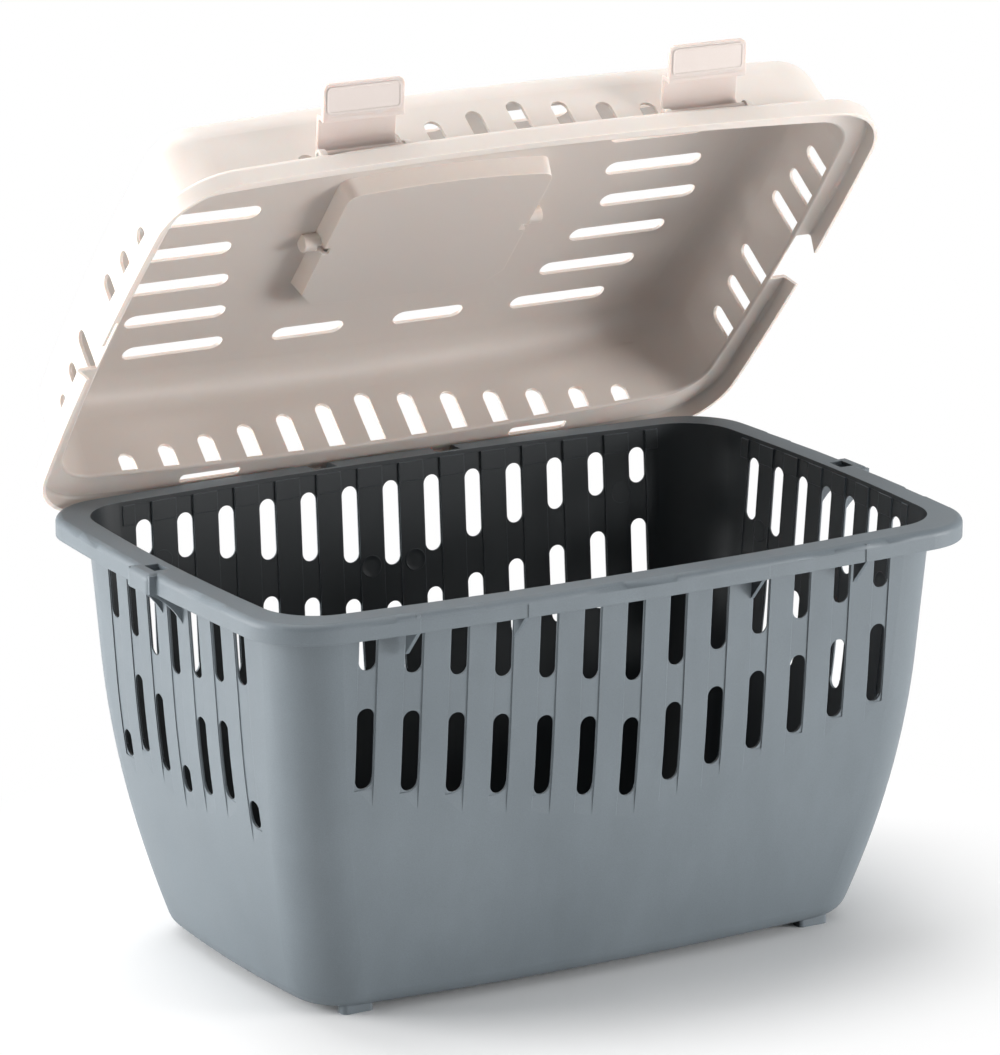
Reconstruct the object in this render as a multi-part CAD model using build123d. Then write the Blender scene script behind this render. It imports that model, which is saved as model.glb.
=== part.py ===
from build123d import *
import math
import os

# Top-opening plastic pet carrier: a slotted tub, a domed lid hinged along the back rim,
# a folding carry handle in the lid's well and two snap latches on the lid's front edge.
# Millimetres, X along the carrier, the back (hinge side) at +Y, Z up. The origin is the
# middle of the base's underside, and the feet reach down below it to the floor.

# Tub size
rim_length = 480.0
rim_width = 323.0
tub_height = 249.0
foot_height = 4.0
wall = 2.1

# Tub rim
rim_overhang_long = 15.0
rim_overhang_short = 15.0
rim_band_height = 11.8
rim_corner = 42.0
rim_top_round = 4.0
bow_long = 10.0
bow_short = 6.0

# Tub body
body_corner = 36.0
draft_slope = 0.0666
straight_depth = 83.0
belly_curve = 0.00074
base_round = 15.0
belly_steps = 4

# Slots of the tub
slot_pitch = 28.5
slot_width = 10.7
long_side_slots = 13
short_slot_pitch = 26.4
short_side_slots = 7
slot_top_depth = 12.8
upper_slot_depth = 65.1
upper_slot_rise = 5.0
slot_row_gap = 22.6
lower_slot_length = 48.4
short_upper_depth = 65.4
short_upper_rise = 4.6
short_row_gap = 23.6
short_lower_length = 47.3
low_slot_depth = 137.4
low_slot_length = 16.3
recess_depth = 0.6
recess_margin = 0.6
recess_run_out = 12.0
groove_depth = 0.6
groove_top_depth = 2.6
pad_depth = 14.5
pad_height = 0.5

# Feet, gussets, latch zones and strap bumps of the tub
foot_x = 155.0
foot_y = 92.0
foot_length = 20.0
foot_width = 9.0
latch_offset = 114.0
latch_zone_length = 67.7
latch_zone_step = 0.5
gusset_thickness = 2.4
gusset_drop = 27.0
bump_length = 27.0
bump_reach = 5.0
socket_length = 13.0
socket_width = 9.0
bump_rib_thickness = 2.2
bump_rib_drop = 34.0

# Hinge between tub and lid
hinge_offset = 42.75
hinge_opening = 16.0
hinge_bar_radius = 2.0
hinge_bar_inset = 3.8
hinge_bar_depth = 11.4
hinge_fit = 0.08
hook_width = 13.0
hook_radius = 4.3
hook_mouth = 3.4
hook_mouth_angle = 20.0
hook_stem = 3.2
cheek_thickness = 2.4
cheek_reach = 2.8
lid_open_angle = 49.3

# Lid, measured up from the edge of its skirt
lid_wall = 2.1
lid_gap = 0.35
seat_gap = 0.4
skirt_depth = 10.5
skirt_round = 3.2
skirt_cove = 2.2
shoulder_bead = 1.8
shoulder_long = 19.5
shoulder_short = 12.5
lid_corner = 30.0
lid_height = 70.8
lid_draft_slope = 0.07
roof_round = 21.5
lid_slot_width = 10.7
lid_slot_base = 12.9
lid_slot_peak = 46.8
lid_slot_step = 3.75
end_slot_peak = 44.6
end_slot_step = 3.7
end_slots_each_side = 3
roof_slot_width = 12.0
roof_row_pitch = 32.3
roof_rows_each_side = 3
roof_slot_length = 66.5
roof_slot_start = 126.3
roof_slot_step = 8.75
short_roof_slot_start = 17.6
short_roof_slot_length = 48.0
window_length = 40.0
window_width = 7.6
window_inset = 13.2
notch_gap = 1.0
notch_top = 43.0
notch_round = 3.0

# Handle well in the lid's roof
well_length = 143.0
well_width = 116.0
well_depth = 13.8
well_draft = 2.2
well_front_round = 8.0
well_rear_round = 9.0
well_bow = 4.5

# Carry handle
handle_clearance = 1.0
handle_reach = 50.0
handle_thickness = 8.0
grip_width = 15.0
arm_width = 11.0
handle_corner = 18.0
handle_end_round = 3.8
handle_edge = 2.2
handle_pin_radius = 3.0
handle_pin_fit = 0.1
handle_pin_length = 9.5
handle_pin_depth = 5.8
boss_radius = 5.4
boss_length = 11.5
snap_pinch = 0.4

# Latches
latch_open_angle = 125.0
latch_width = 50.0
latch_grip_width = 52.0
latch_wall = 2.2
latch_shoulder_round = 6.0
latch_gap = 1.3
latch_pivot_height = 15.6
latch_pivot_inset = 7.95
latch_barrel_radius = 2.6
latch_pin_radius = 2.0
latch_pin_fit = 0.1
latch_pin_length = 3.4
latch_catch_gap = 1.2
latch_catch_reach = 7.4
latch_catch_thickness = 2.6
latch_grip_length = 19.5
latch_grip_flare = 1.0
latch_grip_round = 4.0
latch_field_margin = 3.2
latch_field_depth = 0.4
lug_thickness = 4.0
lug_radius = 3.8
lug_side_gap = 0.5

rim_top = tub_height
lid_rim_length = rim_length + 2 * (lid_gap + lid_wall)
lid_rim_width = rim_width + 2 * (lid_gap + lid_wall)
lid_edge_z = rim_top + seat_gap - skirt_depth
shoulder_top = skirt_depth + lid_wall
notch_base = bump_length + 2 * notch_gap
hinge_y = rim_width / 2 - hinge_bar_inset
hinge_z = rim_top - hinge_bar_depth
latch_bow = bow_long * (latch_offset / (lid_rim_length / 2 - bow_short)) ** 2
latch_pivot_y = -(lid_rim_width / 2 - latch_bow - latch_pivot_inset)
latch_pivot_z = lid_edge_z + latch_pivot_height
handle_pivot_z = lid_edge_z + lid_height - handle_pin_depth
far = 2 * rim_length


def bowed_outline(length, width, corner, z=0.0, bow_x=bow_long, bow_y=bow_short):
    """A rounded rectangle whose sides bow outwards to the given length and width."""
    hx = length / 2 - bow_y
    hy = width / 2 - bow_x
    sides = [
        ThreePointArc((-hx, -hy), (0, -width / 2), (hx, -hy)),
        ThreePointArc((hx, -hy), (length / 2, 0), (hx, hy)),
        ThreePointArc((hx, hy), (0, width / 2), (-hx, hy)),
        ThreePointArc((-hx, hy), (-length / 2, 0), (-hx, -hy)),
    ]
    sketch = make_face(sides)
    sketch = fillet(sketch.vertices(), corner)
    return Pos(0, 0, z) * sketch


def block(x0, x1, y0, y1, z0, z1):
    """A box between two corners."""
    centre = Pos((x0 + x1) / 2, (y0 + y1) / 2, (z0 + z1) / 2)
    return centre * Box(abs(x1 - x0), abs(y1 - y0), abs(z1 - z0))


def upright_slot(width, z0, z1, square_base=False):
    """A round-ended slot in the XZ plane, or one with a square lower end."""
    middle = Rectangle(width, z1 - z0 - width)
    slot = Pos(0, (z0 + z1) / 2) * middle + Pos(0, z1 - width / 2) * Circle(width / 2)
    if square_base:
        return slot + Pos(0, z0 + width / 4) * Rectangle(width, width / 2)
    return slot + Pos(0, z0 + width / 2) * Circle(width / 2)


def inset_at(depth):
    """How far the tub's wall has drawn in at a depth below the rim."""
    belly = max(0.0, depth - straight_depth)
    return draft_slope * depth + belly_curve * belly**2


def tub_section(depth, inward):
    """Outline of the tub's wall at a depth below the rim, moved inwards."""
    inset = inset_at(depth) + inward
    length = rim_length - 2 * (rim_overhang_short + inset)
    width = rim_width - 2 * (rim_overhang_long + inset)
    return bowed_outline(length, width, body_corner - inward, rim_top - depth)


def tub_form(inward, top_depth, bottom_depth, bottom_round=0.0):
    """A solid with the tub's outer form, moved inwards, between two depths."""
    top = tub_section(top_depth, inward).face()
    shoulder = tub_section(straight_depth, inward).face()
    form = loft([top, shoulder], ruled=True)
    step = (bottom_depth - straight_depth) / belly_steps
    belly = [tub_section(straight_depth + step * i, inward).face() for i in range(belly_steps + 1)]
    form += loft(belly)
    if bottom_round > 0:
        form = fillet(form.edges().group_by(Axis.Z)[0], bottom_round)
    return form


def upper_form(inward, top_depth, bottom_depth):
    """The straight part of the tub's form, moved inwards, between two depths."""
    top = tub_section(top_depth, inward).face()
    base = tub_section(bottom_depth, inward).face()
    return loft([top, base], ruled=True)


def long_slot_sketch():
    """All slots of the front and back walls, as one sketch in the XZ plane."""
    middle = long_side_slots // 2
    sketch = Sketch()
    for i in range(-middle, middle + 1):
        upper_base = upper_slot_depth - upper_slot_rise * abs(i)
        lower_top = upper_base + slot_row_gap
        upper = upright_slot(slot_width, rim_top - upper_base, rim_top - slot_top_depth)
        lower = upright_slot(slot_width, rim_top - lower_top - lower_slot_length, rim_top - lower_top)
        sketch += Pos(i * slot_pitch, 0) * upper
        sketch += Pos(i * slot_pitch, 0) * lower
    return sketch


def short_slot_sketch():
    """All slots of the two end walls, as one sketch in the YZ plane."""
    middle = short_side_slots // 2
    sketch = Sketch()
    for i in range(-middle, middle + 1):
        upper_base = short_upper_depth - short_upper_rise * abs(i)
        upper = upright_slot(slot_width, rim_top - upper_base, rim_top - slot_top_depth)
        lower_top = upper_base + short_row_gap
        lower_base = lower_top + short_lower_length
        if i % 3 == 0:
            lower_base = low_slot_depth
            lower_top = low_slot_depth - low_slot_length
        lower = upright_slot(slot_width, rim_top - lower_base, rim_top - lower_top)
        sketch += Pos(i * short_slot_pitch, 0) * upper
        sketch += Pos(i * short_slot_pitch, 0) * lower
    return sketch


def through_x(sketch, reach=far):
    """A sketch drawn in the YZ plane, run right along X."""
    return extrude(Plane.YZ * sketch, reach, both=True)


def through_y(sketch, reach=far):
    """A sketch drawn in the XZ plane, run right along Y."""
    return extrude(Plane.XZ * sketch, reach, both=True)


def slot_columns():
    """Place and lower end of each column of slots: long walls first, then end walls."""
    middle = long_side_slots // 2
    long_columns = []
    for i in range(-middle, middle + 1):
        base = upper_slot_depth - upper_slot_rise * abs(i) + slot_row_gap + lower_slot_length
        long_columns.append((i * slot_pitch, base))
    middle = short_side_slots // 2
    short_columns = []
    for i in range(-middle, middle + 1):
        base = short_upper_depth - short_upper_rise * abs(i) + short_row_gap + short_lower_length
        short_columns.append((i * short_slot_pitch, low_slot_depth if i % 3 == 0 else base))
    return long_columns, short_columns


def running_out(half_span, bow, reach, column, base):
    """Profile of a channel cutter whose lower end slopes out through the wall's face."""
    place = half_span - bow * (column / reach) ** 2
    foot = base + recess_run_out
    face_high = place - inset_at(base) - recess_depth
    face_low = place - inset_at(foot)
    top = rim_top - rim_band_height / 2
    slope = (face_low - face_high) / recess_run_out
    return make_face(Polyline(
        (far, top), (place / 2, top),
        (place / 2, rim_top - base), (face_high, rim_top - base),
        (face_low + slope * recess_run_out, rim_top - foot - recess_run_out),
        (far, rim_top - foot - recess_run_out), close=True,
    ))


def recess_strips():
    """Cutters for the shallow channels that each pair of slots sits in."""
    width = slot_width + 2 * recess_margin
    long_columns, short_columns = slot_columns()
    half_length = rim_length / 2 - rim_overhang_short
    half_width = rim_width / 2 - rim_overhang_long
    reach_x = half_length - bow_short
    reach_y = half_width - bow_long
    strips = Part()
    for x, base in long_columns:
        profile = running_out(half_width, bow_long, reach_x, x, base + recess_margin)
        strip = Pos(x, 0, 0) * extrude(Plane.YZ * profile, width / 2, both=True)
        strips += strip + mirror(strip, Plane.XZ)
    for y, base in short_columns:
        profile = running_out(half_length, bow_short, reach_y, y, base + recess_margin)
        strip = Pos(0, y, 0) * extrude(Plane.XZ * profile, width / 2, both=True)
        strips += strip + mirror(strip, Plane.YZ)
    return strips


def groove_strips():
    """The shallow grooves on the inside, from just under the rim to each lower slot's end."""
    width = slot_width + 2 * recess_margin
    top = rim_top - groove_top_depth
    long_columns, short_columns = slot_columns()
    strips = Part()
    for x, base in long_columns:
        strips += block(x - width / 2, x + width / 2, -far, far, rim_top - base + width / 2, top)
    for y, base in short_columns:
        strips += block(-far, far, y - width / 2, y + width / 2, rim_top - base + width / 2, top)
    return strips & tub_form(wall - groove_depth, -wall, low_slot_depth)


def strip_pads():
    """Low pads on the inside, at the top of each strip between two slots."""
    ring = upper_form(wall / 2, groove_top_depth, pad_depth)
    ring -= upper_form(wall + pad_height, groove_top_depth, pad_depth)
    half_x = slot_pitch * (long_side_slots // 2 + 0.5)
    half_y = short_slot_pitch * (short_side_slots // 2 + 0.5)
    low = rim_top - pad_depth
    reach = block(-half_x, half_x, -far, far, low, rim_top) + block(-far, far, -half_y, half_y, low, rim_top)
    return ring & reach


def make_tub():
    """The tub: one moulding with its rim, slots, feet, gussets, bumps and hinge bars."""
    base_depth = tub_height
    outer = tub_form(0.0, 0.0, base_depth, base_round)
    inner = tub_form(wall, -wall, base_depth - wall, base_round - wall)

    recess_core = tub_form(recess_depth, -wall, base_depth - base_round)
    outer -= recess_strips() - recess_core

    rim = extrude(bowed_outline(rim_length, rim_width, rim_corner, rim_top), -rim_band_height)
    bump_x = rim_length / 2 + bump_reach
    bump = block(-bump_x, bump_x, -bump_length / 2, bump_length / 2, rim_top - rim_band_height, rim_top)
    bump = fillet(bump.edges().filter_by(Axis.Z), bump_reach - 1.0)
    rim += bump
    rim = fillet(rim.faces().sort_by(Axis.Z)[-1].edges(), rim_top_round)
    channel_plan = bowed_outline(rim_length - 2 * wall, rim_width - 2 * wall, rim_corner - wall)
    channel = extrude(Pos(0, 0, rim_top - wall) * channel_plan, -2 * rim_band_height)
    bump_hollow_x = bump_x - wall
    channel += block(
        -bump_hollow_x,
        bump_hollow_x,
        -bump_length / 2 + wall,
        bump_length / 2 - wall,
        rim_top - 2 * rim_band_height,
        rim_top - wall,
    )
    tub = (rim - channel) + outer

    tub += latch_gussets() + bump_ribs() + hinge_cheeks() + feet()
    tub -= latch_zones()
    tub -= inner
    tub += strip_pads()
    tub -= groove_strips()
    tub -= through_y(long_slot_sketch()) + through_x(short_slot_sketch())
    tub -= strap_sockets() + hinge_openings()
    return tub + hinge_bars()


def latch_gussets():
    """Triangular webs under the front rim, one at each end of each latch zone."""
    y_wall = -(rim_width / 2 - rim_overhang_long - wall / 2)
    y_band = -(rim_width / 2 - wall / 2) + bow_long / 3
    top = rim_top - wall / 2
    profile = Polyline(
        (y_wall, top),
        (y_band, top),
        (y_band, rim_top - rim_band_height),
        (y_wall + inset_at(gusset_drop), rim_top - gusset_drop),
        close=True,
    )
    web = extrude(Plane.YZ * make_face(profile), gusset_thickness / 2, both=True)
    webs = Part()
    for side in (-1, 1):
        for end in (-1, 1):
            x = side * latch_offset + end * (latch_zone_length + gusset_thickness) / 2
            webs += Pos(x, 0, 0) * web
    return webs


def latch_zones():
    """Shallow flats on the rim's front band, where the latches close over it."""
    depth = rim_band_height - 2 * rim_top_round
    zone_plan = bowed_outline(rim_length, rim_width, rim_corner, rim_top - rim_top_round)
    core_plan = bowed_outline(
        rim_length - 2 * latch_zone_step,
        rim_width - 2 * latch_zone_step,
        rim_corner - latch_zone_step,
        rim_top - rim_top_round,
    )
    ring = extrude(zone_plan, -depth - rim_band_height) - extrude(core_plan, -depth - rim_band_height)
    zones = Part()
    for side in (-1, 1):
        x = side * latch_offset
        half = latch_zone_length / 2
        zones += ring & block(x - half, x + half, -far, 0, 0, rim_top)
    return zones


def bump_ribs():
    """Two curved webs under each strap bump on the rim's short sides."""
    reach = rim_length / 2 + bump_reach - wall / 2
    x_wall = rim_length / 2 - rim_overhang_short - wall / 2
    top = rim_top - wall / 2
    drop_x = x_wall - inset_at(bump_rib_drop)
    ribs = Part()
    outline = [
        Line((x_wall, top), (reach, top)),
        Line((reach, top), (reach, rim_top - rim_band_height)),
        ThreePointArc(
            (reach, rim_top - rim_band_height),
            (x_wall + bump_reach, rim_top - (rim_band_height + bump_rib_drop) / 2),
            (drop_x, rim_top - bump_rib_drop),
        ),
        Line((drop_x, rim_top - bump_rib_drop), (x_wall, top)),
    ]
    rib = extrude(Plane.XZ * make_face(outline), bump_rib_thickness / 2, both=True)
    for end in (-1, 1):
        y = end * (bump_length / 2 - wall / 2)
        ribs += Pos(0, y, 0) * rib
        ribs += Pos(0, y, 0) * mirror(rib, Plane.YZ)
    return ribs


def strap_sockets():
    """Square sockets down through the rim, one in the middle of each short side."""
    x = rim_length / 2 - rim_overhang_short / 2
    low = rim_top - rim_band_height
    sockets = Part()
    for side in (-1, 1):
        sockets += block(
            side * x - socket_width / 2, side * x + socket_width / 2,
            -socket_length / 2, socket_length / 2, low, rim_top + wall,
        )
    return sockets


def hinge_openings():
    """Openings in the back rim that the lid's hooks pass down through."""
    y0 = rim_width / 2 - rim_overhang_long + lid_gap
    y1 = rim_width / 2 + wall
    low = rim_top - rim_band_height - wall
    openings = Part()
    for side in (-1, 1):
        x = side * hinge_offset
        openings += block(x - hinge_opening / 2, x + hinge_opening / 2, y0, y1, low, rim_top + wall)
    return openings


def hinge_cheeks():
    """Webs beside each hinge opening that carry the ends of its bar."""
    y0 = rim_width / 2 - rim_overhang_long - wall / 2
    low = hinge_z - hinge_bar_radius
    cheeks = Part()
    for side in (-1, 1):
        for end in (-1, 1):
            x = side * hinge_offset + end * (hinge_opening + cheek_thickness) / 2
            cheeks += block(
                x - cheek_thickness / 2, x + cheek_thickness / 2,
                y0, hinge_y + cheek_reach, low, rim_top - wall / 2,
            )
    return cheeks


def hinge_bars():
    """The two round bars that the lid turns on."""
    bar = Rot(0, 90, 0) * Cylinder(hinge_bar_radius, hinge_opening + cheek_thickness)
    return Pos(-hinge_offset, hinge_y, hinge_z) * bar + Pos(hinge_offset, hinge_y, hinge_z) * bar


def feet():
    """Four low moulded feet that run up into the rounded edge of the base."""
    height = foot_height + base_round
    middle = (base_round - foot_height) / 2
    foot = Box(foot_length, foot_width, height)
    foot = fillet(foot.edges().filter_by(Axis.Z), foot_width / 3)
    all_feet = Part()
    for x in (-foot_x, foot_x):
        for y in (-foot_y, foot_y):
            all_feet += Pos(x, y, middle) * foot
    return all_feet


def lid_dome(inward, base):
    """The lid's domed form, moved inwards, from a height above the skirt's edge."""
    top = lid_height - inward
    length = lid_rim_length - 2 * (shoulder_short + inward)
    width = lid_rim_width - 2 * (shoulder_long + inward)
    rise = top - shoulder_top
    low = bowed_outline(
        length - 2 * lid_draft_slope * (base - shoulder_top),
        width - 2 * lid_draft_slope * (base - shoulder_top),
        lid_corner - inward,
        base,
    )
    high = bowed_outline(
        length - 2 * lid_draft_slope * rise, width - 2 * lid_draft_slope * rise, lid_corner - inward, top
    )
    dome = loft([low.face(), high.face()], ruled=True)
    return fillet(dome.faces().sort_by(Axis.Z)[-1].edges(), roof_round - inward)


def well_outline(inward, z):
    """Plan of the handle well, moved inwards, with bowed long sides."""
    hx = well_length / 2 - inward
    hy = well_width / 2 - inward
    sketch = make_face([
        ThreePointArc((-hx, -hy + well_bow), (0, -hy), (hx, -hy + well_bow)),
        Line((hx, -hy + well_bow), (hx, hy - well_bow)),
        ThreePointArc((hx, hy - well_bow), (0, hy), (-hx, hy - well_bow)),
        Line((-hx, hy - well_bow), (-hx, -hy + well_bow)),
    ])
    front = sketch.vertices().group_by(Axis.Y)[0]
    sketch = fillet(front, well_front_round)
    rear = sketch.vertices().group_by(Axis.Y)[-1]
    sketch = chamfer(rear, well_rear_round)
    return Pos(0, 0, z) * sketch


def well_form(inward, base, top):
    """The well as a solid that narrows towards its floor."""
    low = well_outline(inward + well_draft, base)
    high = well_outline(inward, top)
    return loft([low.face(), high.face()], ruled=True)


def lid_slots():
    """Slots of the lid's long walls, its end walls and its roof."""
    middle = long_side_slots // 2
    long_sketch = Sketch()
    for i in range(-middle, middle + 1):
        peak = lid_slot_peak - lid_slot_step * abs(i)
        slot = upright_slot(lid_slot_width, lid_slot_base, peak, square_base=True)
        long_sketch += Pos(i * slot_pitch, 0) * slot
    end_sketch = Sketch()
    for i in range(1, end_slots_each_side + 1):
        peak = end_slot_peak - end_slot_step * i
        slot = upright_slot(lid_slot_width, lid_slot_base, peak, square_base=True)
        for side in (-1, 1):
            end_sketch += Pos(side * i * short_slot_pitch, 0) * slot
    roof_sketch = Sketch()
    for j in range(-roof_rows_each_side, roof_rows_each_side + 1):
        x = roof_slot_start - roof_slot_step * abs(j) + roof_slot_length / 2
        slot = SlotOverall(roof_slot_length, roof_slot_width)
        for side in (-1, 1):
            roof_sketch += Pos(side * x, j * roof_row_pitch) * slot
    for row in (-1, 1):
        x = short_roof_slot_start + short_roof_slot_length / 2
        slot = SlotOverall(short_roof_slot_length, roof_slot_width)
        for side in (-1, 1):
            roof_sketch += Pos(side * x, row * roof_rows_each_side * roof_row_pitch) * slot
    roof = extrude(Pos(0, 0, lid_height - well_depth) * roof_sketch, well_depth + lid_wall)
    return through_y(long_sketch) + through_x(end_sketch) + roof


def lid_windows():
    """Long windows in the shoulder, over the hinge side and under the latches."""
    y = lid_rim_width / 2 - window_inset
    low = skirt_depth - lid_wall
    window = block(
        -window_length / 2, window_length / 2, -window_width / 2, window_width / 2,
        low, shoulder_top + lid_wall,
    )
    window = fillet(window.edges().filter_by(Axis.Z), window_width / 3)
    windows = Part()
    for side in (-1, 1):
        windows += Pos(side * latch_offset, y, 0) * window
    return windows


def lid_notches():
    """Notches in the skirt that clear the strap bumps of the tub's rim."""
    inner = lid_rim_length / 2 - shoulder_short - lid_wall
    profile = Polyline(
        (-notch_base / 2, -lid_wall),
        (notch_base / 2, -lid_wall),
        (notch_top / 2, skirt_depth),
        (notch_top / 2, shoulder_top + lid_wall),
        (-notch_top / 2, shoulder_top + lid_wall),
        (-notch_top / 2, skirt_depth),
        close=True,
    )
    plan = make_face(profile)
    shoulders = [v for v in plan.vertices() if abs(v.Y - skirt_depth) < notch_gap / 2]
    cut = extrude(Plane.YZ * fillet(shoulders, notch_round), rim_length)
    right = Pos(inner + lid_wall, 0, 0) * cut
    return right + mirror(right, Plane.YZ)


def lid_hooks():
    """Hooks under the back shoulder that clip round the tub's hinge bars."""
    y = hinge_y
    z = hinge_z - lid_edge_z
    ring = Rot(0, 90, 0) * Cylinder(hook_radius, hook_width)
    stem = block(
        -hook_width / 2, hook_width / 2, hook_radius - hook_stem, hook_radius,
        0, skirt_depth + lid_wall / 2 - z,
    )
    bore = Rot(0, 90, 0) * Cylinder(hinge_bar_radius + hinge_fit, 2 * hook_width)
    mouth = block(-hook_width, hook_width, -hook_mouth / 2, hook_mouth / 2, -2 * hook_radius, 0)
    hook = ring + stem - bore - Rot(-hook_mouth_angle, 0, 0) * mouth
    return Pos(-hinge_offset, y, z) * hook + Pos(hinge_offset, y, z) * hook


def latch_lugs():
    """Pairs of ears on the front shoulder that hold the latches' pins."""
    y = latch_pivot_y
    z = latch_pivot_height
    low = shoulder_top - lid_wall / 2 - z
    ear = Rot(0, 90, 0) * Cylinder(lug_radius, lug_thickness)
    ear += block(-lug_thickness / 2, lug_thickness / 2, -lug_radius, lug_radius, low, 0)
    ear -= Rot(0, 90, 0) * Cylinder(latch_pin_radius + latch_pin_fit, 2 * lug_thickness)
    lugs = Part()
    for side in (-1, 1):
        for end in (-1, 1):
            x = side * latch_offset + end * (latch_width / 2 + lug_side_gap + lug_thickness / 2)
            lugs += Pos(x, y, z) * ear
    return lugs


def handle_bosses():
    """Bosses on the well's ends for the handle's pins, with the snap-in slots below."""
    z = lid_height - handle_pin_depth
    x0 = well_length / 2 - well_draft
    boss = Rot(0, 90, 0) * Cylinder(boss_radius, boss_length)
    bosses = Part()
    for side in (-1, 1):
        bosses += Pos(side * (x0 + boss_length / 2), 0, z) * boss
    return bosses


def handle_bores():
    """Bores for the handle's pins, and the slots that let the pins snap in."""
    z = lid_height - handle_pin_depth
    x0 = well_length / 2 - 2 * lid_wall - well_draft
    length = handle_pin_length + 2 * lid_wall
    radius = handle_pin_radius + handle_pin_fit
    bore = Rot(0, 90, 0) * Cylinder(radius, length)
    slot_floor = lid_height - well_depth - lid_wall
    snap_length = 2 * lid_wall + well_draft + handle_clearance
    snap = block(0, snap_length, snap_pinch - radius, radius - snap_pinch, slot_floor, z)
    cuts = Part()
    for side in (-1, 1):
        cuts += Pos(side * (x0 + length / 2), 0, z) * bore
    right = Pos(x0, 0, 0) * snap
    return cuts + right + mirror(right, Plane.YZ)


def make_lid():
    """The lid, closed, measured from the edge of its skirt."""
    plan = bowed_outline(lid_rim_length, lid_rim_width, rim_corner + lid_gap + lid_wall)
    rim = extrude(plan, shoulder_top)
    rim = fillet(rim.faces().sort_by(Axis.Z)[-1].edges(), skirt_round)
    channel_plan = bowed_outline(rim_length + 2 * lid_gap, rim_width + 2 * lid_gap, rim_corner + lid_gap)
    channel = extrude(Pos(0, 0, -lid_wall) * channel_plan, skirt_depth + lid_wall)
    channel = fillet(channel.faces().sort_by(Axis.Z)[-1].edges(), skirt_cove)
    hollow = channel + lid_dome(lid_wall, skirt_depth - lid_wall)
    ledge = hollow.faces().filter_by(Plane.XY).sort_by(Axis.Z)[-2]
    hollow = fillet(ledge.inner_wires()[0].edges(), shoulder_bead)
    floor_z = lid_height - well_depth
    lid = rim + lid_dome(0.0, skirt_depth)
    lid -= hollow
    lid += well_form(0.0, floor_z, lid_height - lid_wall / 2) + handle_bosses()
    lid -= well_form(lid_wall, floor_z + lid_wall, lid_height + well_draft)
    lid -= handle_bores()
    lid -= lid_slots()
    lid -= lid_windows() + lid_notches()
    lid += lid_hooks() + latch_lugs()
    return Pos(0, 0, lid_edge_z) * lid


def make_handle():
    """The bail handle, folded into the well towards the hinge."""
    half = well_length / 2 - lid_wall - well_draft - handle_clearance
    outer = make_face(Polyline(
        (-half, -handle_thickness / 2), (half, -handle_thickness / 2),
        (half, handle_reach), (-half, handle_reach), close=True,
    ))
    outer = fillet(outer.vertices().group_by(Axis.Y)[-1], handle_corner)
    outer = fillet(outer.vertices().group_by(Axis.Y)[0], handle_end_round)
    inside = half - arm_width
    inner = make_face(Polyline(
        (-inside, -handle_reach), (inside, -handle_reach),
        (inside, handle_reach - grip_width), (-inside, handle_reach - grip_width), close=True,
    ))
    inner = fillet(inner.vertices().group_by(Axis.Y)[-1], handle_corner - arm_width / 2)
    bail = extrude(outer - inner, handle_thickness / 2, both=True)
    flat_faces = bail.faces().filter_by(Axis.Z)
    bail = fillet(flat_faces.edges(), handle_edge)
    pin = Rot(0, 90, 0) * Cylinder(handle_pin_radius, handle_pin_length + arm_width / 2)
    for side in (-1, 1):
        bail += Pos(side * (half + handle_pin_length / 2 - arm_width / 4), 0, 0) * pin
    return Pos(0, 0, handle_pivot_z) * bail


def quarter_round(u, w, radius):
    """A quarter round in the corner at (u, w), from its upright side to its top."""
    reach = radius * (1 - math.sqrt(0.5))
    return ThreePointArc((u, w - radius), (u - reach, w - reach), (u - radius, w))


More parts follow.
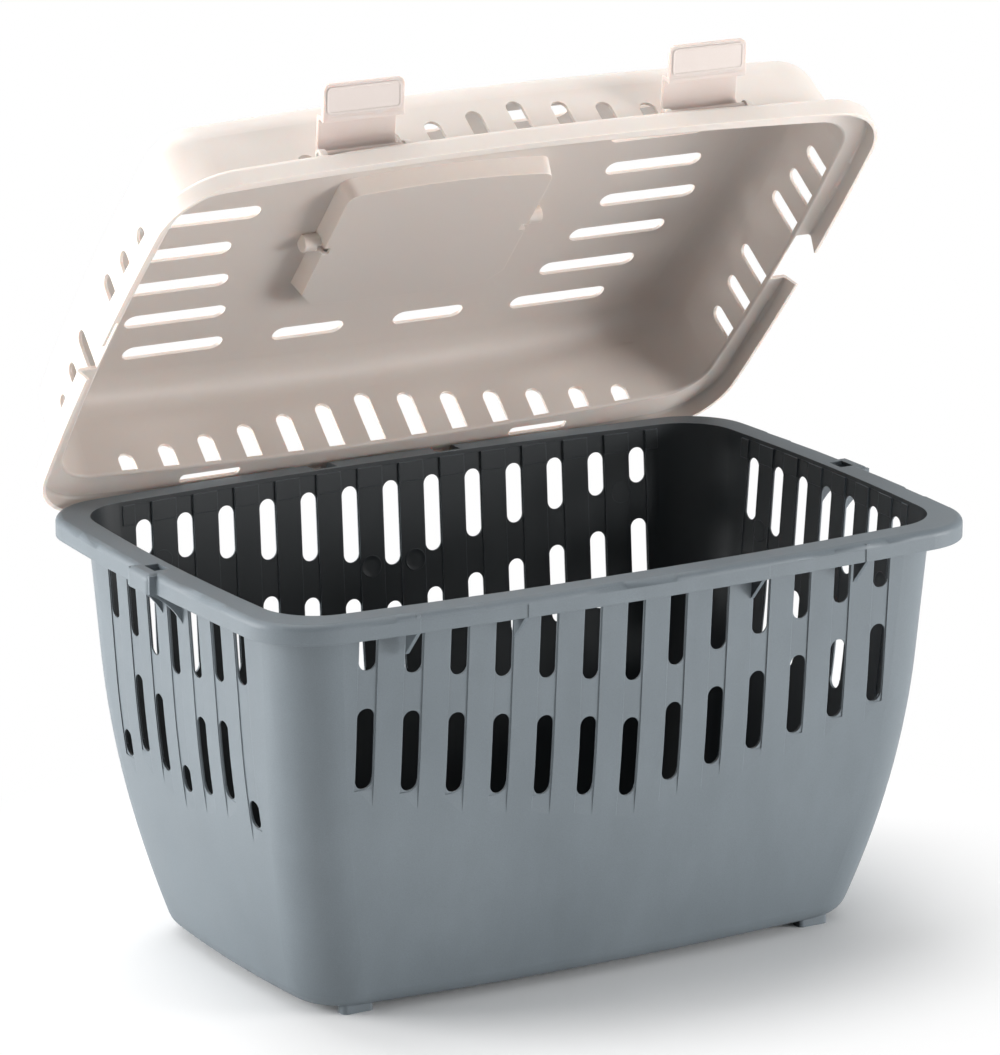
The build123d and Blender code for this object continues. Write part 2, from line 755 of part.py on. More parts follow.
def make_latch(side):
    """One latch, closed over the rims, drawn outwards (u) and up (w) from its pivot."""
    skirt_u = latch_pivot_inset
    inner_u = skirt_u + latch_gap
    outer_u = inner_u + latch_wall
    catch_w = rim_top - rim_band_height - latch_catch_gap - latch_pivot_z
    low_w = catch_w - latch_catch_thickness
    tip_w = low_w - latch_grip_length
    top_w = latch_wall
    inner_round = latch_shoulder_round - latch_wall
    body = make_face([
        Line((0, 0), (0, top_w)),
        Line((0, top_w), (outer_u - latch_shoulder_round, top_w)),
        quarter_round(outer_u, top_w, latch_shoulder_round),
        Line((outer_u, top_w - latch_shoulder_round), (outer_u, low_w)),
        Line((outer_u, low_w), (inner_u - latch_catch_reach, low_w)),
        Line((inner_u - latch_catch_reach, low_w), (inner_u - latch_catch_reach, catch_w)),
        Line((inner_u - latch_catch_reach, catch_w), (inner_u, catch_w)),
        Line((inner_u, catch_w), (inner_u, -inner_round)),
        quarter_round(inner_u, 0, inner_round),
        Line((inner_u - inner_round, 0), (0, 0)),
    ])
    tip_u = inner_u - latch_catch_reach
    grip = make_face(Polyline(
        (tip_u, catch_w), (tip_u + latch_wall, catch_w),
        (tip_u + latch_wall + latch_grip_flare, tip_w), (tip_u + latch_grip_flare, tip_w), close=True,
    ))
    to_yz = Plane(origin=(0, 0, 0), x_dir=(0, -1, 0), z_dir=(-1, 0, 0))
    latch = extrude(to_yz * body, latch_width / 2, both=True)
    plate = extrude(to_yz * grip, latch_grip_width / 2, both=True)
    tip_corners = plate.edges().filter_by(Axis.Y).group_by(Axis.Z)[0]
    plate = fillet(tip_corners, latch_grip_round)
    lean = math.degrees(math.atan2(latch_grip_flare, latch_grip_length))
    field = Box(
        latch_grip_width - 2 * latch_field_margin, 2 * latch_field_depth,
        latch_grip_length - 2 * latch_field_margin,
    )
    field = fillet(field.edges().filter_by(Axis.Y), latch_grip_round / 2)
    field_u = tip_u + latch_grip_flare / 2
    plate -= Pos(0, -field_u, (low_w + tip_w) / 2) * (Rot(lean, 0, 0) * field)
    latch += plate
    latch += Rot(0, 90, 0) * Cylinder(latch_barrel_radius, latch_width)
    pin_span = latch_width + 2 * (lug_side_gap + latch_pin_length)
    latch += Rot(0, 90, 0) * Cylinder(latch_pin_radius, pin_span)
    return Pos(side * latch_offset, latch_pivot_y, latch_pivot_z) * latch


def turned(part, y, z, angle):
    """A part turned about an axis along X through a point; positive lifts the front."""
    return Pos(0, y, z) * (Rot(-angle, 0, 0) * (Pos(0, -y, -z) * part))


def opened_lid(part):
    """A part of the lid, swung open with it."""
    return turned(part, hinge_y, hinge_z, lid_open_angle)


def opened_latch(side):
    """A latch flipped open on the lid, then swung up with it."""
    latch = turned(make_latch(side), latch_pivot_y, latch_pivot_z, latch_open_angle)
    return opened_lid(latch)


os.makedirs("parts", exist_ok=True)
export_step(make_tub(), "parts/tub.step")
export_step(opened_lid(make_lid()), "parts/lid.step")
export_step(opened_lid(make_handle()), "parts/handle.step")
export_step(opened_latch(-1), "parts/latch_left.step")
export_step(opened_latch(1), "parts/latch_right.step")
print("lid hinge axis y, z:", hinge_y, hinge_z)
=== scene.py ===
import bmesh
import bpy
import math
from mathutils import Matrix, Vector


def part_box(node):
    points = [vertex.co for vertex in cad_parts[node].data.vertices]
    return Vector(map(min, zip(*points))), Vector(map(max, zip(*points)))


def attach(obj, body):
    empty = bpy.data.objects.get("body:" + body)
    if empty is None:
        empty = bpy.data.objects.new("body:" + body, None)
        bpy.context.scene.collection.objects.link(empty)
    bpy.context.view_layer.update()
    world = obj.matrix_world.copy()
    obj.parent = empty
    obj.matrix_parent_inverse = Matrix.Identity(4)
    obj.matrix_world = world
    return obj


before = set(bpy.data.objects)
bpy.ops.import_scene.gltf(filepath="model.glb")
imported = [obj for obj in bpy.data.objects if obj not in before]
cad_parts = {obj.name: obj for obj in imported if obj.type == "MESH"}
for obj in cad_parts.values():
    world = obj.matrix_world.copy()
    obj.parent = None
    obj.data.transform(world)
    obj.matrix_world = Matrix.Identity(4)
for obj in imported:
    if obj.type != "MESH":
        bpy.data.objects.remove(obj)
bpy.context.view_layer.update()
print("stage: frame loaded")

millimetre = 0.001


# Colours are picked as they look on a screen, and shaders want them linear
def fromScreen(red, green, blue):
    channels = []
    for value in (red, green, blue):
        value = value / 255
        channels.append(value / 12.92 if value <= 0.04045 else ((value + 0.055) / 1.055) ** 2.4)
    return (*channels, 1.0)


# ---- small helpers for node trees
def addNode(tree, kind, x, y, **values):
    node = tree.nodes.new(kind)
    node.location = (x, y)
    for name, value in values.items():
        setattr(node, name, value)
    return node


def startGroup(name, inputs, outputs):
    group = bpy.data.node_groups.new(name, "ShaderNodeTree")
    for label, kind, value in inputs:
        socket = group.interface.new_socket(name=label, in_out="INPUT", socket_type=kind)
        socket.default_value = value
    for label, kind in outputs:
        group.interface.new_socket(name=label, in_out="OUTPUT", socket_type=kind)
    entry = addNode(group, "NodeGroupInput", -900, 0)
    leave = addNode(group, "NodeGroupOutput", 700, 0)
    return group, entry, leave


def placeGroup(tree, group, x, y, **values):
    node = addNode(tree, "ShaderNodeGroup", x, y)
    node.node_tree = group
    for name, value in values.items():
        node.inputs[name].default_value = value
    return node


# Fine spark-eroded grain of the mould, as a height
def buildGrainGroup():
    group, entry, leave = startGroup(
        "mouldGrain",
        [("Grain per metre", "NodeSocketFloat", 1500.0), ("Roughening", "NodeSocketFloat", 0.5)],
        [("Height", "NodeSocketFloat"), ("Speckle", "NodeSocketFloat")],
    )
    where = addNode(group, "ShaderNodeTexCoord", -900, 300)
    fine = addNode(group, "ShaderNodeTexNoise", -600, 200)
    fine.inputs["Detail"].default_value = 3.0
    pits = addNode(group, "ShaderNodeTexVoronoi", -600, -100, feature="SMOOTH_F1")
    blend = addNode(group, "ShaderNodeMix", -250, 100)
    link = group.links.new
    link(where.outputs["Object"], fine.inputs["Vector"])
    link(where.outputs["Object"], pits.inputs["Vector"])
    link(entry.outputs["Grain per metre"], fine.inputs["Scale"])
    link(entry.outputs["Grain per metre"], pits.inputs["Scale"])
    link(entry.outputs["Roughening"], blend.inputs["Factor"])
    link(fine.outputs["Fac"], blend.inputs["A"])
    link(pits.outputs["Distance"], blend.inputs["B"])
    link(blend.outputs["Result"], leave.inputs["Height"])
    link(fine.outputs["Fac"], leave.inputs["Speckle"])
    return group


# Slow cloudy unevenness left by the flow of the melt, and streaks that run up the walls
def buildFlowGroup():
    streaksPerCloud = 9.0
    group, entry, leave = startGroup(
        "meltFlow",
        [("Clouds per metre", "NodeSocketFloat", 9.0), ("Stretch", "NodeSocketFloat", 3.0)],
        [("Cloud", "NodeSocketFloat"), ("Streak", "NodeSocketFloat")],
    )
    where = addNode(group, "ShaderNodeTexCoord", -900, 300)
    squeeze = addNode(group, "ShaderNodeCombineXYZ", -900, -250)
    squeeze.inputs["X"].default_value = 1.0
    squeeze.inputs["Y"].default_value = 1.0
    inverse = addNode(group, "ShaderNodeMath", -1100, -250, operation="DIVIDE")
    inverse.inputs[0].default_value = 1.0
    scaled = addNode(group, "ShaderNodeVectorMath", -650, -100, operation="MULTIPLY")
    cloud = addNode(group, "ShaderNodeTexNoise", -400, 200)
    cloud.inputs["Detail"].default_value = 4.0
    streak = addNode(group, "ShaderNodeTexNoise", -400, -100)
    streak.inputs["Detail"].default_value = 5.0
    finer = addNode(group, "ShaderNodeMath", -650, -350, operation="MULTIPLY")
    finer.inputs[1].default_value = streaksPerCloud
    link = group.links.new
    link(entry.outputs["Stretch"], inverse.inputs[1])
    link(inverse.outputs[0], squeeze.inputs["Z"])
    link(where.outputs["Object"], cloud.inputs["Vector"])
    link(where.outputs["Object"], scaled.inputs[0])
    link(squeeze.outputs[0], scaled.inputs[1])
    link(scaled.outputs[0], streak.inputs["Vector"])
    link(entry.outputs["Clouds per metre"], cloud.inputs["Scale"])
    link(entry.outputs["Clouds per metre"], finer.inputs[0])
    link(finer.outputs[0], streak.inputs["Scale"])
    link(cloud.outputs["Fac"], leave.inputs["Cloud"])
    link(streak.outputs["Fac"], leave.inputs["Streak"])
    return group


# Rounded moulded edges: a softened normal, and a mask that is white along the edges, where a painted
# highlight goes
def buildEdgeGroup():
    group, entry, leave = startGroup(
        "mouldedEdge",
        [("Radius", "NodeSocketFloat", 0.0005), ("Reach", "NodeSocketFloat", 0.25)],
        [("Normal", "NodeSocketVector"), ("Edge highlight", "NodeSocketFloat")],
    )
    rounded = addNode(group, "ShaderNodeBevel", -600, 200, samples=3)
    surface = addNode(group, "ShaderNodeNewGeometry", -600, -50)
    agree = addNode(group, "ShaderNodeVectorMath", -350, 50, operation="DOT_PRODUCT")
    missing = addNode(group, "ShaderNodeMath", -150, 50, operation="SUBTRACT", use_clamp=True)
    missing.inputs[0].default_value = 1.0
    spread = addNode(group, "ShaderNodeMath", 50, 50, operation="DIVIDE", use_clamp=True)
    link = group.links.new
    link(entry.outputs["Radius"], rounded.inputs["Radius"])
    link(rounded.outputs["Normal"], agree.inputs[0])
    link(surface.outputs["Normal"], agree.inputs[1])
    link(agree.outputs["Value"], missing.inputs[1])
    link(missing.outputs[0], spread.inputs[0])
    link(entry.outputs["Reach"], spread.inputs[1])
    link(rounded.outputs["Normal"], leave.inputs["Normal"])
    link(spread.outputs[0], leave.inputs["Edge highlight"])
    return group


# Painted shade mask: white on the faces that look in towards the carrier's middle, where the inside of the
# tub and of the lid lies in shade
def buildPaintedInnerShadeGroup():
    # how far a face looks outwards where the painted shade begins, and where it is full
    begins, whole = 0.05, -0.25
    group, entry, leave = startGroup(
        "paintedInnerShade",
        [("Middle", "NodeSocketVector", (0.0, 0.0, 0.0)), ("Outward", "NodeSocketVector", (0.0, 0.0, 0.0))],
        [("Inside", "NodeSocketFloat")],
    )
    where = addNode(group, "ShaderNodeTexCoord", -900, 300)
    surface = addNode(group, "ShaderNodeNewGeometry", -900, -250)
    fromMiddle = addNode(group, "ShaderNodeVectorMath", -650, 200, operation="SUBTRACT")
    outward = addNode(group, "ShaderNodeVectorMath", -450, 200, operation="MULTIPLY")
    direction = addNode(group, "ShaderNodeVectorMath", -250, 200, operation="NORMALIZE")
    facing = addNode(group, "ShaderNodeVectorMath", -50, 100, operation="DOT_PRODUCT")
    sharpen = addNode(group, "ShaderNodeMapRange", 200, 100)
    sharpen.inputs["From Min"].default_value = begins
    sharpen.inputs["From Max"].default_value = whole
    link = group.links.new
    link(where.outputs["Object"], fromMiddle.inputs[0])
    link(entry.outputs["Middle"], fromMiddle.inputs[1])
    link(fromMiddle.outputs[0], outward.inputs[0])
    link(entry.outputs["Outward"], outward.inputs[1])
    link(outward.outputs[0], direction.inputs[0])
    link(direction.outputs[0], facing.inputs[0])
    link(surface.outputs["Normal"], facing.inputs[1])
    link(facing.outputs["Value"], sharpen.inputs["Value"])
    link(sharpen.outputs["Result"], leave.inputs["Inside"])
    return group


# Every face of a closed mesh turned to look outwards
def faceOutwards(mesh):
    work = bmesh.new()
    work.from_mesh(mesh)
    bmesh.ops.recalc_face_normals(work, faces=work.faces)
    work.to_mesh(mesh)
    work.free()


grainGroup = buildGrainGroup()
flowGroup = buildFlowGroup()
edgeGroup = buildEdgeGroup()
paintedInnerShadeGroup = buildPaintedInnerShadeGroup()


# The part of the cloud noise that is spread over the two tones
cloudRange = (0.3, 0.7)


# One recipe for all the mouldings; each piece brings its own settings
def mouldedPlastic(name, look):
    material = bpy.data.materials.new(name)
    material.use_nodes = True
    tree = material.node_tree
    tree.nodes.clear()
    link = tree.links.new
    output = addNode(tree, "ShaderNodeOutputMaterial", 1100, 0)
    plastic = addNode(tree, "ShaderNodeBsdfPrincipled", 800, 0)
    plastic.inputs["IOR"].default_value = look["ior"]
    plastic.inputs["Subsurface Weight"].default_value = look["glow"]
    plastic.inputs["Subsurface Radius"].default_value = look["glowRadius"]
    plastic.inputs["Subsurface Scale"].default_value = look["glowDepth"]
    grainValues = {"Grain per metre": look["grain"], "Roughening": look["pitting"]}
    grain = placeGroup(tree, grainGroup, -500, -300, **grainValues)
    flowValues = {"Clouds per metre": look["clouds"], "Stretch": look["stretch"]}
    flow = placeGroup(tree, flowGroup, -500, 100, **flowValues)
    edge = placeGroup(tree, edgeGroup, -500, -600, Radius=look["edgeRadius"], Reach=look["edgeReach"])

    # colour: two close tones clouded into each other, then streaks and grain, painted shade on the faces
    # that look inwards, and a painted highlight along the edges
    tones = addNode(tree, "ShaderNodeMix", -150, 300, data_type="RGBA")
    tones.inputs["A"].default_value = look["dark"]
    tones.inputs["B"].default_value = look["light"]
    spread = addNode(tree, "ShaderNodeMapRange", -330, 250)
    spread.inputs["From Min"].default_value = cloudRange[0]
    spread.inputs["From Max"].default_value = cloudRange[1]
    streaks = addNode(tree, "ShaderNodeMix", 50, 300, data_type="RGBA", blend_type="OVERLAY")
    streaks.inputs["Factor"].default_value = look["streaks"]
    speckles = addNode(tree, "ShaderNodeMix", 230, 300, data_type="RGBA", blend_type="OVERLAY")
    speckles.inputs["Factor"].default_value = look["speckle"]
    # painted highlight: the edges are made paler, standing in for the light that the rounded edges catch
    edgeHighlight = addNode(tree, "ShaderNodeMix", 450, 300, data_type="RGBA")
    edgeHighlight.inputs["B"].default_value = look["edgeHighlightColour"]
    edgeHighlightShare = addNode(tree, "ShaderNodeMath", 300, 50, operation="MULTIPLY")
    edgeHighlightShare.inputs[1].default_value = look["edgeHighlightShare"]
    link(flow.outputs["Cloud"], spread.inputs["Value"])
    link(spread.outputs["Result"], tones.inputs["Factor"])
    link(tones.outputs["Result"], streaks.inputs["A"])
    link(flow.outputs["Streak"], streaks.inputs["B"])
    link(streaks.outputs["Result"], speckles.inputs["A"])
    link(grain.outputs["Speckle"], speckles.inputs["B"])
    # painted shade: the faces that look in towards the middle are darkened to the shade colour, standing in
    # for the shade inside the tub and under the lid
    innerShadeMask = placeGroup(tree, paintedInnerShadeGroup, -150, 550, Middle=look["middle"], Outward=look["outward"])
    paintedShadeShare = addNode(tree, "ShaderNodeMath", 50, 550, operation="MULTIPLY")
    paintedShadeShare.inputs[1].default_value = look["paintedShadeShare"]
    paintedShadeMix = addNode(tree, "ShaderNodeMix", 340, 450, data_type="RGBA")
    paintedShadeMix.inputs["B"].default_value = look["paintedShadeColour"]
    link(innerShadeMask.outputs["Inside"], paintedShadeShare.inputs[0])
    link(paintedShadeShare.outputs[0], paintedShadeMix.inputs["Factor"])
    link(speckles.outputs["Result"], paintedShadeMix.inputs["A"])
    link(paintedShadeMix.outputs["Result"], edgeHighlight.inputs["A"])
    link(edge.outputs["Edge highlight"], edgeHighlightShare.inputs[0])
    link(edgeHighlightShare.outputs[0], edgeHighlight.inputs["Factor"])
    link(edgeHighlight.outputs["Result"], plastic.inputs["Base Color"])

    # gloss: rough on the grain, a little shinier where hands and the mould have polished it
    sheen = addNode(tree, "ShaderNodeMapRange", 300, -150)
    sheen.inputs["To Min"].default_value = look["roughLow"]
    sheen.inputs["To Max"].default_value = look["roughHigh"]
    link(flow.outputs["Streak"], sheen.inputs["Value"])
    link(sheen.outputs["Result"], plastic.inputs["Roughness"])

    bump = addNode(tree, "ShaderNodeBump", 450, -400)
    bump.inputs["Strength"].default_value = look["grainStrength"]
    bump.inputs["Distance"].default_value = look["grainHeight"]
    link(grain.outputs["Height"], bump.inputs["Height"])
    link(edge.outputs["Normal"], bump.inputs["Normal"])
    link(bump.outputs["Normal"], plastic.inputs["Normal"])
    link(plastic.outputs["BSDF"], output.inputs["Surface"])
    return material


# ---- the tub: matt grey-blue, grained all over
tubLook = {
    "dark": fromScreen(102, 111, 117),
    "light": fromScreen(112, 121, 127),
    # painted highlight along the edges
    "edgeHighlightColour": fromScreen(150, 160, 168),
    "edgeHighlightShare": 0.45,
    "edgeRadius": 0.6 * millimetre,
    "edgeReach": 0.3,
    "streaks": 0.10,
    "speckle": 0.16,
    "clouds": 7.0,
    "stretch": 4.0,
    "roughLow": 0.44,
    "roughHigh": 0.58,
    "ior": 1.49,
    "grain": 1800.0,
    "pitting": 0.45,
    "grainStrength": 0.35,
    "grainHeight": 0.12 * millimetre,
    "glow": 0.0,
    "glowRadius": (1.0, 1.0, 1.0),
    "glowDepth": 1.0 * millimetre,
    "middle": (0.0, 0.0, 0.14),
    "outward": (1.0, 1.6, 0.15),
    # painted shade on the faces that look inwards, as dark as the shaded inside of the tub
    "paintedShadeColour": fromScreen(28, 34, 38),
    "paintedShadeShare": 1.0,
}

# ---- the lid and handle: satin pale beige that lets a little light through
lidLook = {
    "dark": fromScreen(222, 213, 206),
    "light": fromScreen(228, 220, 213),
    # painted highlight along the edges
    "edgeHighlightColour": fromScreen(236, 222, 212),
    "edgeHighlightShare": 0.35,
    "edgeRadius": 0.6 * millimetre,
    "edgeReach": 0.3,
    "streaks": 0.05,
    "speckle": 0.05,
    "clouds": 6.0,
    "stretch": 3.0,
    "roughLow": 0.36,
    "roughHigh": 0.48,
    "ior": 1.49,
    "grain": 1500.0,
    "pitting": 0.4,
    "grainStrength": 0.18,
    "grainHeight": 0.08 * millimetre,
    "glow": 1.0,
    "glowRadius": (1.0, 0.74, 0.62),
    "glowDepth": 1.5 * millimetre,
    "middle": (0.0, 0.078, 0.377),
    "outward": (0.25, 1.0, 1.0),
    # painted shade on the faces that look inwards, for the shaded underside of the lid
    "paintedShadeColour": fromScreen(205, 195, 188),
    "paintedShadeShare": 0.9,
}

# ---- the latches: the same melt, thinner and a little pinker
latchLook = dict(
    lidLook,
    dark=fromScreen(212, 200, 193),
    light=fromScreen(219, 207, 201),
    paintedShadeShare=0.0,
    glowDepth=1.8 * millimetre,
    roughLow=0.32,
    roughHigh=0.42,
)


def dress(node, material):
    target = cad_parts[node]
    target.data.materials.clear()
    target.data.materials.append(material)


tubPlastic = mouldedPlastic("tubPlastic", tubLook)
dress("tub", tubPlastic)
dress("lid", mouldedPlastic("lidPlastic", lidLook))
dress("handle", mouldedPlastic("handlePlastic", lidLook))
latchPlastic = mouldedPlastic("latchPlastic", latchLook)
dress("latch_left", latchPlastic)
dress("latch_right", latchPlastic)
print("stage: mouldings dressed")


# ---- the raised border round the level middle of each latch's grip, in mm from the latch's pivot
# it is too thin a shell for light to spread in, so it has no glow of its own
gripPlastic = mouldedPlastic("gripPlastic", dict(latchLook, glow=0.0))
gripBorder = {
    "halfWidth": 24.2,
    "ends": (-38.8, -22.8),
    "corner": 3.0,
    "cornerSteps": 6,
    # inset from the outline and height over the grip's face
    "profile": [(0.0, -0.2), (0.0, 0.2), (0.25, 0.34), (1.1, 0.34), (1.5, 0.06)],
    # the grip's face: how far out it is at a height, and how much further it leans out below
    "faceOut": 1.85,
    "faceHeight": -18.5,
    "lean": 1.0 / 22.1,
    # how far the latch and then the lid are turned about the axis along x
    "turn": math.radians(-125.0 - 49.3),
    "pivot": (114.0, -32.535, 484.685),
}


def roundedOutline(halfWidth, low, high, corner, steps):
    outline = []
    quarters = [(halfWidth, high, 0), (-halfWidth, high, 90), (-halfWidth, low, 180), (halfWidth, low, 270)]
    for edge, end, start in quarters:
        centreX = edge - math.copysign(corner, edge)
        centreZ = end - corner if end == high else end + corner
        for step in range(steps + 1):
            angle = math.radians(start + 90 * step / steps)
            outline.append((centreX + corner * math.cos(angle), centreZ + corner * math.sin(angle)))
    return outline


def buildGripBorder(name, body, side):
    look = gripBorder
    low, high = look["ends"]
    corners = []
    for inset, height in look["profile"]:
        halfWidth = look["halfWidth"] - inset
        corner = look["corner"] - inset
        outline = roundedOutline(halfWidth, low + inset, high - inset, corner, look["cornerSteps"])
        for x, z in outline:
            out = look["faceOut"] + look["lean"] * (look["faceHeight"] - z) - height
            corners.append(Vector((x, -out, z)) * millimetre)
    sides = len(outline)
    rings = len(look["profile"])
    faces = [list(range(sides)), list(reversed(range((rings - 1) * sides, rings * sides)))]
    for ring in range(rings - 1):
        for step in range(sides):
            after = (step + 1) % sides
            near, far = ring * sides, (ring + 1) * sides
            faces.append((near + after, near + step, far + step, far + after))
    mesh = bpy.data.meshes.new(name)
    mesh.from_pydata(corners, [], faces)
    pivot = Vector(look["pivot"]) * millimetre
    pivot.x *= side
    mesh.transform(Matrix.Translation(pivot) @ Matrix.Rotation(look["turn"], 4, "X"))
    faceOutwards(mesh)
    mesh.materials.append(gripPlastic)
    border = bpy.data.objects.new(name, mesh)
    bpy.context.scene.collection.objects.link(border)
    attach(border, body)


buildGripBorder("gripBorderLeft", "latch_left", -1)
buildGripBorder("gripBorderRight", "latch_right", 1)
print("stage: grip borders set")


# ---- the round marks that the mould's ejector pins leave on the inside of the tub
pinMarks = {
    "sides": 40,
    # radius and height over the wall, from the sunken edge to the middle
    "profile": [(7.0, -0.25), (7.0, 0.22), (6.75, 0.34), (6.4, 0.34), (6.1, 0.16), (3.0, 0.14)],
    # place on the wall and the way it faces, in the quarter of the tub with positive x and y
    "longWall": [
        ((159.3, 136.5, 209.4), (-0.066, -1.0, 0.067)),
        ((15.3, 140.1, 185.1), (-0.006, -1.0, 0.067)),
    ],
    "endWall": [((217.7, 67.8, 192.9), (-1.0, -0.044, 0.067))],
}


def buildPinMark(name, place, facing):
    sides = pinMarks["sides"]
    corners = []
    for radius, height in pinMarks["profile"]:
        for step in range(sides):
            angle = 2 * math.pi * step / sides
            corner = Vector((radius * math.cos(angle), radius * math.sin(angle), height))
            corners.append(corner * millimetre)
    rings = len(pinMarks["profile"])
    faces = []
    for ring in range(rings - 1):
        for step in range(sides):
            after = (step + 1) % sides
            low, high = ring * sides, (ring + 1) * sides
            faces.append((low + step, low + after, high + after, high + step))
    faces.append([(rings - 1) * sides + step for step in range(sides)])
    faces.append([step for step in reversed(range(sides))])
    mesh = bpy.data.meshes.new(name)
    mesh.from_pydata(corners, [], faces)
    mesh.polygons.foreach_set("use_smooth", [True] * len(mesh.polygons))
    turn = Vector(facing).to_track_quat("Z", "Y").to_matrix().to_4x4()
    mesh.transform(Matrix.Translation(Vector(place) * millimetre) @ turn)
    faceOutwards(mesh)
    mesh.materials.append(tubPlastic)
    mark = bpy.data.objects.new(name, mesh)
    bpy.context.scene.collection.objects.link(mark)
    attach(mark, "tub")


count = 0
for place, facing in pinMarks["longWall"] + pinMarks["endWall"]:
    for sideX in (1, -1):
        for sideY in (1, -1):
            count += 1
            mirrored = (place[0] * sideX, place[1] * sideY, place[2])
            turned = (facing[0] * sideX, facing[1] * sideY, facing[2])
            buildPinMark(f"pinMark{count:02d}", mirrored, turned)
print("stage: pin marks set on the tub's inner walls")


# ---- studio: pale floor, white surround, soft boxes; the floor fades out between two distances
studio = {
    "floorHalf": 4.0,
    "floorColour": fromScreen(252, 252, 252),
    "floorRoughness": 0.9,
    "floorFade": (0.18, 0.40),
    "frontLight": 0.30,
    "backLight": 0.98,
    "brightSide": (-0.45, 0.85, 0.25),
    "brightRange": (-0.5, 0.7),
    "softboxes": [
        # name, place, aimed at, size, watts
        ("leftBox", (-2.2, 1.2, 0.6), (0.0, 0.0, 0.2), 1.6, 76.0),
        ("rightBox", (2.3, -1.8, 0.25), (0.1, 0.0, 0.10), 1.3, 102.0),
        ("topBox", (-0.1, 0.6, 2.4), (0.0, 0.1, 0.2), 1.6, 34.0),
    ],
}


def buildFloor():
    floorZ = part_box("tub")[0][2]
    half = studio["floorHalf"]
    mesh = bpy.data.meshes.new("studioFloor")
    corners = [(-half, -half, floorZ), (half, -half, floorZ), (half, half, floorZ), (-half, half, floorZ)]
    mesh.from_pydata(corners, [], [(0, 1, 2, 3)])
    floor = bpy.data.objects.new("studioFloor", mesh)
    bpy.context.scene.collection.objects.link(floor)
    material = bpy.data.materials.new("paleFloor")
    material.use_nodes = True
    tree = material.node_tree
    tree.nodes.clear()
    output = addNode(tree, "ShaderNodeOutputMaterial", 600, 0)
    paper = addNode(tree, "ShaderNodeBsdfPrincipled", 0, 0)
    paper.inputs["Base Color"].default_value = studio["floorColour"]
    paper.inputs["Roughness"].default_value = studio["floorRoughness"]
    # away from the carrier the paper burns out to plain white for the camera
    white = addNode(tree, "ShaderNodeEmission", 0, -400)
    where = addNode(tree, "ShaderNodeNewGeometry", -800, 0)
    distance = addNode(tree, "ShaderNodeVectorMath", -600, 0, operation="LENGTH")
    fade = addNode(tree, "ShaderNodeMapRange", -400, 0, interpolation_type="SMOOTHSTEP")
    fade.inputs["From Min"].default_value = studio["floorFade"][0]
    fade.inputs["From Max"].default_value = studio["floorFade"][1]
    lightPath = addNode(tree, "ShaderNodeLightPath", -600, 300)
    seen = addNode(tree, "ShaderNodeMath", -200, 200, operation="MULTIPLY")
    mix = addNode(tree, "ShaderNodeMixShader", 300, 0)
    link = tree.links.new
    link(where.outputs["Position"], distance.inputs[0])
    link(distance.outputs["Value"], fade.inputs["Value"])
    link(fade.outputs["Result"], seen.inputs[0])
    link(lightPath.outputs["Is Camera Ray"], seen.inputs[1])
    link(seen.outputs[0], mix.inputs["Fac"])
    link(paper.outputs[0], mix.inputs[1])
    link(white.outputs[0], mix.inputs[2])
    link(mix.outputs[0], output.inputs["Surface"])
    mesh.materials.append(material)


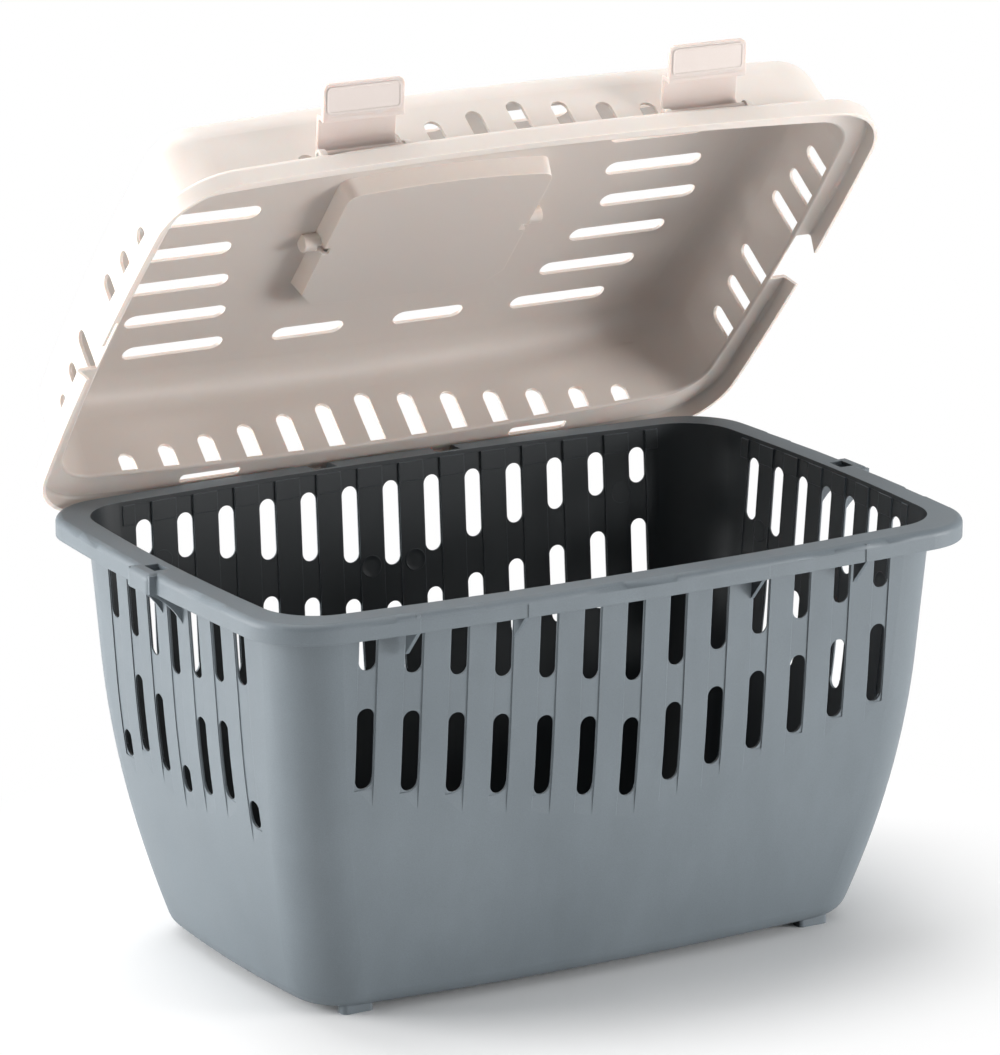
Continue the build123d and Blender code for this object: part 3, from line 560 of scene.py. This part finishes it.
def buildWorld():
    world = bpy.data.worlds.new("studioWorld")
    bpy.context.scene.world = world
    world.use_nodes = True
    tree = world.node_tree
    tree.nodes.clear()
    output = addNode(tree, "ShaderNodeOutputWorld", 500, 0)
    # bright behind and to the left, dim in front, and plain white for the camera
    where = addNode(tree, "ShaderNodeTexCoord", -900, 0)
    facing = addNode(tree, "ShaderNodeVectorMath", -700, 0, operation="DOT_PRODUCT")
    facing.inputs[1].default_value = Vector(studio["brightSide"]).normalized()
    level = addNode(tree, "ShaderNodeMapRange", -450, 0, interpolation_type="SMOOTHSTEP")
    level.inputs["From Min"].default_value = studio["brightRange"][0]
    level.inputs["From Max"].default_value = studio["brightRange"][1]
    level.inputs["To Min"].default_value = studio["frontLight"]
    level.inputs["To Max"].default_value = studio["backLight"]
    soft = addNode(tree, "ShaderNodeBackground", 0, 0)
    white = addNode(tree, "ShaderNodeBackground", 0, -200)
    lightPath = addNode(tree, "ShaderNodeLightPath", -200, 300)
    mix = addNode(tree, "ShaderNodeMixShader", 250, 0)
    link = tree.links.new
    link(where.outputs["Generated"], facing.inputs[0])
    link(facing.outputs["Value"], level.inputs["Value"])
    link(level.outputs["Result"], soft.inputs["Strength"])
    link(lightPath.outputs["Is Camera Ray"], mix.inputs["Fac"])
    link(soft.outputs[0], mix.inputs[1])
    link(white.outputs[0], mix.inputs[2])
    link(mix.outputs[0], output.inputs["Surface"])


def buildSoftboxes():
    for name, place, target, size, watts in studio["softboxes"]:
        lamp = bpy.data.lights.new(name, "AREA")
        lamp.shape = "SQUARE"
        lamp.size = size
        lamp.energy = watts
        box = bpy.data.objects.new(name, lamp)
        box.location = place
        aim = Vector(target) - Vector(place)
        box.rotation_euler = aim.to_track_quat("-Z", "Y").to_euler()
        bpy.context.scene.collection.objects.link(box)


# Camera solved from the tub's rim and the slots in the photograph
camera = {
    "place": (-1.7995, -3.1024, 1.2246),
    "turn": 30.03,
    "tilt": -15.34,
    "roll": 0.06,
    "focalPixels": 6320.8,
    "framePixels": (1000, 1055),
    "sensor": 36.0,
    "reach": 50.0,
}


def buildCamera():
    data = bpy.data.cameras.new("photoCamera")
    data.sensor_fit = "VERTICAL"
    data.sensor_height = camera["sensor"]
    data.lens = camera["focalPixels"] / camera["framePixels"][1] * camera["sensor"]
    data.clip_end = camera["reach"]
    eye = bpy.data.objects.new("photoCamera", data)
    turn = Matrix.Rotation(-math.radians(camera["turn"]), 4, "Z")
    tilt = Matrix.Rotation(math.radians(90 + camera["tilt"]), 4, "X")
    roll = Matrix.Rotation(math.radians(camera["roll"]), 4, "Z")
    eye.matrix_world = Matrix.Translation(camera["place"]) @ turn @ tilt @ roll
    bpy.context.scene.collection.objects.link(eye)
    bpy.context.scene.camera = eye


buildFloor()
buildWorld()
buildSoftboxes()
buildCamera()
bpy.context.scene.view_settings.view_transform = "Standard"
print("stage: studio and camera placed")
